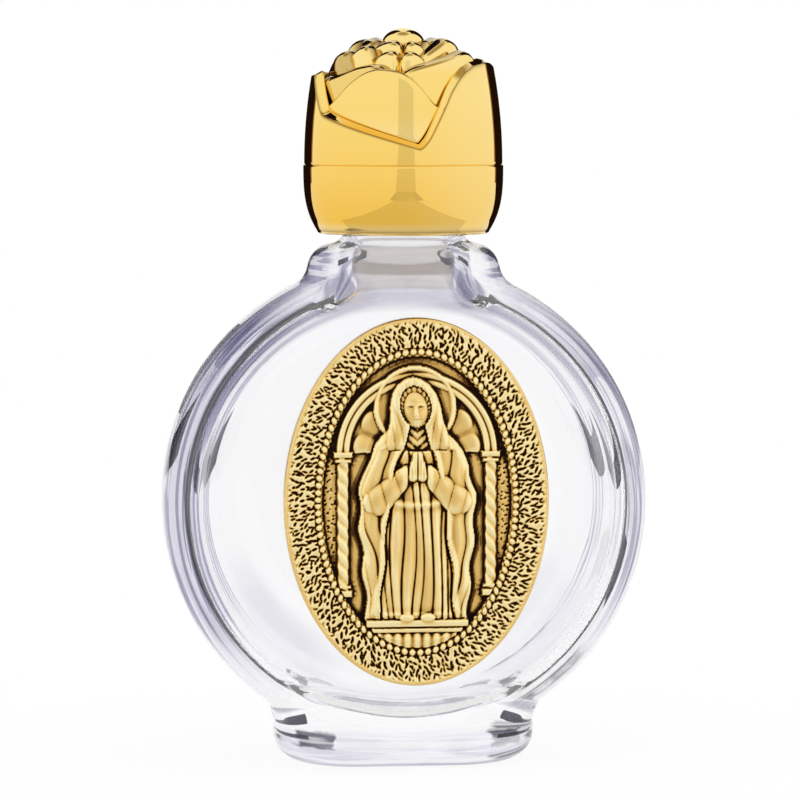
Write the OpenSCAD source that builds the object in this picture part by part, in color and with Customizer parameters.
// Holy water bottle: a flat round glass flask with a gilt rose screw cap and an oval medal.
// Millimetres, +Z up, front towards -Y, origin at the centre of the foot's underside.

/* [Flask] */
// Diameter of the round body
body_d = 53.4; // [50:0.2:60]
// Depth of the body, from the front face to the back face
body_t = 23; // [22:0.5:28]
// Rounding between the flat faces and the rim
body_edge_r = 7.5; // [3:0.25:8]
// Height of the body's lowest point above the table
body_lift = 2.1; // [1.5:0.1:5]
// Glass thickness at the rim
rim_wall = 3; // [2:0.25:4]
// Glass thickness at the flat faces
face_wall = 2.4; // [1.8:0.1:3.5]

/* [Foot] */
// Width of the foot
foot_w = 29; // [24:0.2:34]
// Depth of the foot, front to back, with half round ends
foot_t = 18.7; // [16:0.1:21]
// Rounding of the foot's lower edge
foot_edge_r = 3; // [1:0.1:3.5]
// Depth of the hollow under the foot
punt_h = 0.5; // [0.2:0.1:1.5]
// Width of the ring that stands on the table, inside the rounded edge
punt_land = 1.6; // [1:0.1:3]

/* [Collar and neck] */
// Diameter of the collar under the neck
collar_d = 21.2; // [19:0.1:22]
// Height of the collar's top above the top of the round body
collar_rise = 1.7; // [1.5:0.1:4]
// Rounding of the collar's upper edge
collar_edge_r = 2.8; // [0.5:0.1:3]
// Diameter of the neck between the thread's turns
neck_d = 13.1; // [12:0.1:13.5]
// Height of the neck above the collar
neck_h = 14.5; // [12:0.5:18]
// Fillet at the foot of the neck
neck_fillet_r = 1; // [0.5:0.1:1.5]
// Rounding of the pouring lip
lip_r = 0.6; // [0.3:0.1:1]
// Diameter of the bore through the neck
bore_d = 8.4; // [6:0.2:9]
// Diameter of the throat where the bore opens into the body
throat_d = 13; // [10:0.5:16]

/* [Rose cap] */
// Greatest diameter of the cap, at its parting line
cap_d = 22.1; // [21.6:0.1:26]
// Diameter of the cap at its lower edge
cap_base_d = 18.6; // [18.2:0.1:20]
// Diameter of the cap at the tips of the outer petals
cap_tip_d = 20.5; // [20:0.1:21.5]
// Gap between the collar and the cap's lower edge
cap_gap = 1.1; // [0.8:0.1:3]
// Height of the parting line above the lower edge
seam_h = 7.6; // [6:0.1:9]
// Step at the parting line
seam_step = 0.12; // [0.05:0.01:0.3]
// Number of outer petals, with a notch between each and the next
outer_count = 2; // [2:1:3]
// Number of petals in each inner ring
petal_count = 3; // [2:1:3]
// Thickness of a petal
petal_t = 1.1; // [0.7:0.1:1.4]
// Height of the outer petals' tips above the crown of the screw insert
tip_h = 3.4; // [2:0.1:5]
// Depth of the notch between two outer petals below the crown
notch_depth = 6.3; // [4:0.1:7]
// Where the notch is deepest, to the right of the axis
notch_low_x = 2.3; // [0:0.1:3]
// Where the notch's upright left side stands, to the left of the axis
notch_left_x = 9; // [7:0.1:9.4]
// Depth of the corner at that left side below the crown
notch_left_depth = 2.6; // [1:0.1:3.5]
// Where the notch's steep right side bends outwards, to the right of the axis
notch_bend_x = 4.4; // [4:0.1:6]
// Depth of that bend below the crown
notch_bend_depth = 1.4; // [0:0.1:3]
// Where the right side reaches the next petal's tip
notch_right_x = 8.3; // [7:0.1:9]
// Gap between the outer petals and the flower's heart
petal_gap = 0.2; // [0.1:0.05:0.4]
// Outer radii of the three inner rings of petals
ring_r = [9.5, 8, 5.8]; // [1:0.1:10]
// Heights of the inner rings' tips above the crown
ring_h = [2.8, 4.6, 5.8]; // [1:0.1:8]
// Radii of the arched tips of the inner rings' petals
ring_arch_r = [6.3, 6, 4.2]; // [3:0.1:8]
// Direction of the first petal of each inner ring, from the front towards the right
ring_turn = [-12, 55, -6]; // [-180:1:180]
// Heights of the flower's heart above the crown, inside the second and third ring and in the middle
heart_h = [0.9, 2.9, 5.1]; // [0:0.1:7]
// Radius of the closed bud in the middle
bud_r = 3.2; // [2:0.1:4]
// Height of the bud above the crown
bud_h = 7.3; // [6:0.1:9]

/* [Screw insert] */
// Outer diameter of the insert inside the cap
insert_d = 16.8; // [16.4:0.1:17]
// Bore of the insert, over the neck's thread
insert_bore_d = 14.8; // [14.7:0.05:15.4]
// Thickness of the insert's top
insert_top_t = 1.3; // [0.8:0.1:2.5]
// How far the insert's lower edge sits inside the cap
insert_inset = 0.6; // [0.2:0.1:2]
// Glue gap between the insert and the cap
glue_gap = 0.05; // [0.02:0.01:0.1]

/* [Seal] */
// Thickness of the sealing disc
seal_t = 1; // [0.5:0.1:2]
// Gap round the sealing disc
seal_gap = 0.15; // [0.1:0.05:0.4]

/* [Medal] */
// Width of the oval medal
medal_w = 28.7; // [24:0.1:32]
// Height of the oval medal
medal_h = 39.8; // [34:0.2:41]
// Thickness of the medal at its border
medal_t = 1.5; // [1:0.1:2.5]
// Height of the middle of the medal above the middle of the body
medal_rise = 1; // [-1:0.1:1.5]
// Width of the medal's border at its narrowest
border_w = 3.2; // [2:0.1:4]
// Depth of the field inside the border
field_depth = 0.4; // [0.2:0.1:0.8]
// Width of the raised moulding round the field
moulding_w = 0.9; // [0.5:0.1:1.4]
// How far the moulding stands above the border
moulding_h = 0.25; // [0.1:0.05:0.5]
// How far the figure stands out of the field
relief_h = 1.1; // [0.6:0.1:1.5]
// Height of the standing figure
figure_h = 25; // [22:0.5:26]
// Number of ribs of the shell in the head of the niche
rib_count = 13; // [7:2:17]
// Radius of one rib
rib_r = 0.6; // [0.4:0.05:0.7]
// How far the ribs and the columns stand out of the field
rib_h = 0.3; // [0.1:0.05:0.4]
// Half width of the niche, to the middle of its columns
niche_r = 8; // [7:0.1:8.4]
// Width of a column
column_w = 1.5; // [1:0.1:1.8]
// Width of the plinth under the figure
plinth_w = 10; // [8:0.5:11]
// Height of the plinth
plinth_h = 2.4; // [1.5:0.1:3]
// Thickness of the glue pad behind the medal
pad_t = 0.4; // [0.2:0.1:0.8]
// Margin between the glue pad and the medal's edge
pad_margin = 2; // [1:0.25:4]

/* [Hidden] */
$fn = 96;
over = 1;                                   // overshoot of a cutting shape
rim_r = body_d / 2;
body_z = body_lift + rim_r;                 // middle of the body
face_r = rim_r - body_edge_r;               // radius of the flat faces
foot_top_z = body_z - sqrt(pow(face_r, 2) - pow(foot_w / 2, 2));
collar_r = collar_d / 2;
collar_z = body_z + rim_r + collar_rise;    // top of the collar
collar_root_z = body_z + sqrt(pow(face_r, 2) - pow(collar_r, 2));
throat_z = body_z + rim_r - 2 * rim_wall;   // inside the body's hollow
neck_r = neck_d / 2;
neck_z = collar_z + neck_h;                 // pouring lip
cap_z = collar_z + cap_gap;                 // lower edge of the cap
seam_z = cap_z + seam_h;
seal_z = neck_z + seal_t;                   // top of the sealing disc
crown_z = seal_z + insert_top_t;            // top of the screw insert
tip_z = crown_z + tip_h;
medal_back_y = -body_t / 2 - pad_t;
medal_z = body_z + medal_rise;
field_w = medal_w - 2 * (border_w + moulding_w);
field_h = medal_h - 2 * (border_w + moulding_w);
field_z = medal_t - field_depth;            // height of the field over the medal's back
heart_r = ring_r[0] + petal_gap / 2;        // the heart stands just proud of its first ring of petals
shoulder_drop = 0.4;
heart_z = crown_z - shoulder_drop;          // shoulder of the heart
ledge_w = 0.3;                              // ledge of the heart round the foot of each ring of petals
glass_tint = [0.86, 0.9, 0.94, 0.4];
gilt = [0.93, 0.72, 0.25];
antique_gilt = [0.74, 0.56, 0.22];

// Radius of the arc that leaves a vertical line and falls back by drop over the height h
function arc_r(h, drop) = (h * h + drop * drop) / (2 * drop);

// Upright rectangle with its corners rounded, centred on the origin
module rounded_rect(w, h, r) {
    square([w - 2 * r, h], center = true);
    square([w, h - 2 * r], center = true);
    for (sx = [-1, 1], sy = [-1, 1])
        translate([sx * (w / 2 - r), sy * (h / 2 - r)]) circle(r);
}

// Round disc standing on edge, with rounded rims
module standing_disc(d, t, edge_r) {
    rotate([90, 0, 0]) rotate_extrude()
        intersection() {
            rounded_rect(d, t, edge_r);
            translate([0, -t]) square([d, 2 * t]);
        }
}

// Half section of the foot: an upright wall with a rounded lower edge
module foot_section() {
    end_r = foot_t / 2;
    square([end_r - foot_edge_r, foot_top_z]);
    translate([0, foot_edge_r]) square([end_r, foot_top_z - foot_edge_r]);
    translate([end_r - foot_edge_r, foot_edge_r]) circle(foot_edge_r);
}

// Foot block with half round ends: its section turned round each end and drawn out between them
module foot_block() {
    end_x = (foot_w - foot_t) / 2;
    for (sx = [-1, 1]) translate([sx * end_x, 0, 0]) rotate_extrude() foot_section();
    translate([-end_x, 0, 0]) rotate([90, 0, 90]) linear_extrude(2 * end_x)
        for (side = [0, 1]) mirror([side, 0]) foot_section();
}

// Flat shape with half round ends, centred on the origin
module stadium(w, t) {
    square([w - t, t], center = true);
    for (sx = [-1, 1]) translate([sx * (w - t) / 2, 0]) circle(d = t);
}

// Half outline of the collar and the neck, turned round the bottle's axis
module neck_outline() {
    fillet = neck_fillet_r;
    difference() {
        union() {
            translate([0, collar_root_z]) square([collar_r - collar_edge_r, collar_z - collar_root_z]);
            translate([0, collar_root_z]) square([collar_r, collar_z - collar_edge_r - collar_root_z]);
            translate([collar_r - collar_edge_r, collar_z - collar_edge_r]) circle(collar_edge_r);
            translate([0, collar_root_z]) square([neck_r + fillet, collar_z + fillet - collar_root_z]);
            translate([0, collar_root_z]) square([neck_r, neck_z - lip_r - collar_root_z]);
            translate([0, collar_root_z]) square([neck_r - lip_r, neck_z - collar_root_z]);
            translate([neck_r - lip_r, neck_z - lip_r]) circle(lip_r);
        }
        translate([neck_r + fillet, collar_z + fillet]) circle(fillet);
    }
}

// The blown flask: round body, foot, collar and neck in one piece, with its hollow
module glass_bottle() {
    land_w = foot_edge_r + punt_land;
    color(glass_tint) difference() {
        union() {
            translate([0, 0, body_z]) standing_disc(body_d, body_t, body_edge_r);
            foot_block();
            rotate_extrude() neck_outline();
        }
        translate([0, 0, body_z])
            standing_disc(body_d - 2 * rim_wall, body_t - 2 * face_wall, body_edge_r);
        translate([0, 0, body_z]) cylinder(d = bore_d, h = neck_z - body_z + over);
        translate([0, 0, throat_z]) cylinder(d1 = throat_d, d2 = bore_d, h = collar_z - throat_z);
        translate([0, 0, -over]) linear_extrude(punt_h + over)
            stadium(foot_w - 2 * land_w, foot_t - 2 * land_w);
    }
}

// Half outline of the cap: a bowl up to the parting line, then walls that lean in to the tips
module cap_outline() {
    bowl_r = arc_r(seam_h, (cap_d - cap_base_d) / 2);
    wall_d = cap_d - 2 * seam_step;
    wall_r = arc_r(tip_z - seam_z, (wall_d - cap_tip_d) / 2);
    intersection() {
        translate([cap_d / 2 - bowl_r, seam_z]) circle(bowl_r);
        translate([0, cap_z]) square([cap_d, seam_h]);
    }
    intersection() {
        translate([wall_d / 2 - wall_r, seam_z]) circle(wall_r, $fn = 4 * $fn);
        translate([0, seam_z]) square([cap_d, tip_z - seam_z]);
    }
}

// Notch between two outer petals: one edge slopes gently, the other rises steeply to the next tip
module petal_notch() {
    translate([0, 0, crown_z]) rotate([90, 0, 0]) linear_extrude(cap_d)
        polygon([
            [-heart_r, tip_h + over],
            [-notch_left_x, -notch_left_depth],
            [notch_low_x, -notch_depth],
            [notch_bend_x, -notch_bend_depth],
            [notch_right_x, tip_h - shoulder_drop],
            [heart_r, tip_h + over],
        ]);
}

// Solid heart of the flower under the inner petals
module flower_heart() {
    rotate_extrude() polygon([
        [0, seam_z],
        [heart_r, seam_z],
        [heart_r, heart_z],
        [ring_r[1] + ledge_w, crown_z + heart_h[0]],
        [ring_r[2] + ledge_w, crown_z + heart_h[1]],
        [0, crown_z + heart_h[2]],
    ]);
}

// Ring of upright petals with arched tips
module petal_ring(i) {
    top_z = crown_z + ring_h[i];
    for (k = [0:petal_count - 1]) rotate([0, 0, ring_turn[i] + k * 360 / petal_count])
        intersection() {
            difference() {
                translate([0, 0, crown_z - over]) cylinder(r = ring_r[i], h = ring_h[i] + 2 * over);
                translate([0, 0, crown_z - 2 * over])
                    cylinder(r = ring_r[i] - petal_t, h = ring_h[i] + 4 * over);
            }
            translate([0, 0, top_z - ring_arch_r[i]]) rotate([90, 0, 0])
                cylinder(r = ring_arch_r[i], h = cap_d);
        }
}

// Gilt plastic shell of the cap: the bowl, the outer petals and the flower, over a bore for the insert
module rose_cap() {
    color(gilt) difference() {
        union() {
            difference() {
                rotate_extrude() cap_outline();
                for (k = [0:outer_count - 1]) rotate([0, 0, k * 360 / outer_count]) petal_notch();
                translate([0, 0, heart_z]) cylinder(r = heart_r + petal_gap, h = tip_h + over);
            }
            flower_heart();
            for (i = [0:len(ring_r) - 1]) petal_ring(i);
            translate([0, 0, crown_z + bud_h - bud_r]) sphere(bud_r);
        }
        translate([0, 0, cap_z - over]) cylinder(d = insert_d + 2 * glue_gap, h = crown_z - cap_z + over);
    }
}

// Plastic screw insert that is glued inside the shell and runs on the neck's thread
module screw_insert() {
    low_z = cap_z + insert_inset;
    color("whitesmoke") difference() {
        translate([0, 0, low_z]) cylinder(d = insert_d, h = crown_z - low_z);
        translate([0, 0, low_z - over]) cylinder(d = insert_bore_d, h = seal_z - low_z + over);
    }
}

// Foam disc that seals the pouring lip
module sealing_disc() {
    color("gainsboro") translate([0, 0, neck_z])
        cylinder(d = insert_bore_d - 2 * seal_gap, h = seal_t);
}

// Flat oval, centred on the medal, drawn in the plane of the front face
module oval(w, h) {
    scale([1, h / w]) circle(d = w);
}

// Places a shape drawn in the front plane: its height leaves the medal's back towards the front
module on_medal() {
    translate([0, medal_back_y, medal_z]) rotate([90, 0, 0]) children();
}

// Niche behind the figure: two columns, an arch on them, and the ribs of a shell inside the arch
module shell_niche() {
    spring_y = 0.17 * field_h;
    column_h = 0.5 * field_h;
    hub_r = 0.3 * niche_r;
    arch_in = niche_r - column_w / 2;
    for (sx = [-1, 1])
        translate([sx * niche_r - column_w / 2, spring_y - column_h, field_z - over])
            cube([column_w, column_h, over + rib_h]);
    translate([0, spring_y, field_z - over]) difference() {
        cylinder(r = niche_r + column_w / 2, h = over + rib_h);
        translate([0, 0, -over]) cylinder(r = arch_in, h = 3 * over);
        translate([-medal_w, -medal_w, -over]) cube([2 * medal_w, medal_w, 4 * over]);
    }
    for (k = [0:rib_count - 1])
        translate([0, spring_y, field_z + rib_h - rib_r])
            rotate([0, 0, 180 * (k + 0.5) / rib_count]) translate([hub_r, 0, 0]) rotate([0, 90, 0])
                cylinder(r = rib_r, h = niche_r - hub_r, $fn = 24);
}

// Robed figure at prayer, in low relief: robe, mantle, veil, head, sleeves, joined hands, halo and plinth.
// Its parts are drawn in units of a twenty-sixth of its height
module figure_relief() {
    unit = figure_h / 26;
    foot_y = -0.5 * figure_h;
    head_y = 0.37 * figure_h;
    flat = relief_h / (5.6 * unit);
    translate([0, 0, field_z]) scale([1, 1, flat]) {
        translate([0, foot_y, 0]) rotate([-90, 0, 0])
            cylinder(r1 = 4.8 * unit, r2 = 3.3 * unit, h = 0.62 * figure_h);
        translate([0, head_y - 7 * unit, 0]) scale([1.06, 1.3, 0.9]) sphere(4.9 * unit);
        translate([0, head_y - 0.5 * unit, 0]) scale([1, 1.25, 0.8]) sphere(3.2 * unit);
        translate([0, head_y, 0.9 * unit]) scale([1, 1.3, 1]) sphere(2.2 * unit);
        for (sx = [-1, 1]) translate([sx * 2.7 * unit, head_y - 8 * unit, 2.4 * unit])
            rotate([0, 0, -sx * 32]) scale([1, 2, 1]) sphere(1.7 * unit);
        translate([0, head_y - 6.2 * unit, 4.2 * unit]) scale([0.8, 1.8, 1]) sphere(1.4 * unit);
    }
    translate([0, head_y, field_z - over]) difference() {
        cylinder(r = 4.9 * unit, h = over + 0.35 * relief_h);
        translate([0, 0, -over]) cylinder(r = 4.3 * unit, h = 3 * over + relief_h);
    }
    translate([-plinth_w / 2, foot_y - plinth_h, field_z - over])
        cube([plinth_w, plinth_h, over + 0.8 * relief_h]);
}

// Struck oval medal with a raised border and moulding, and the figure in its niche
module medal() {
    color(antique_gilt) on_medal() intersection() {
        union() {
            difference() {
                union() {
                    linear_extrude(medal_t) oval(medal_w, medal_h);
                    linear_extrude(medal_t + moulding_h)
                        oval(field_w + 2 * moulding_w, field_h + 2 * moulding_w);
                }
                translate([0, 0, field_z]) linear_extrude(medal_t) oval(field_w, field_h);
            }
            shell_niche();
            figure_relief();
        }
        linear_extrude(medal_t + relief_h + over) oval(medal_w, medal_h);
    }
}

// Clear glue pad between the glass and the medal
module glue_pad() {
    color([0.95, 0.95, 0.9, 0.6]) translate([0, -body_t / 2, medal_z]) rotate([90, 0, 0])
        linear_extrude(pad_t) oval(medal_w - 2 * pad_margin, medal_h - 2 * pad_margin);
}

glass_bottle();
rose_cap();
screw_insert();
sealing_disc();
medal();
glue_pad();
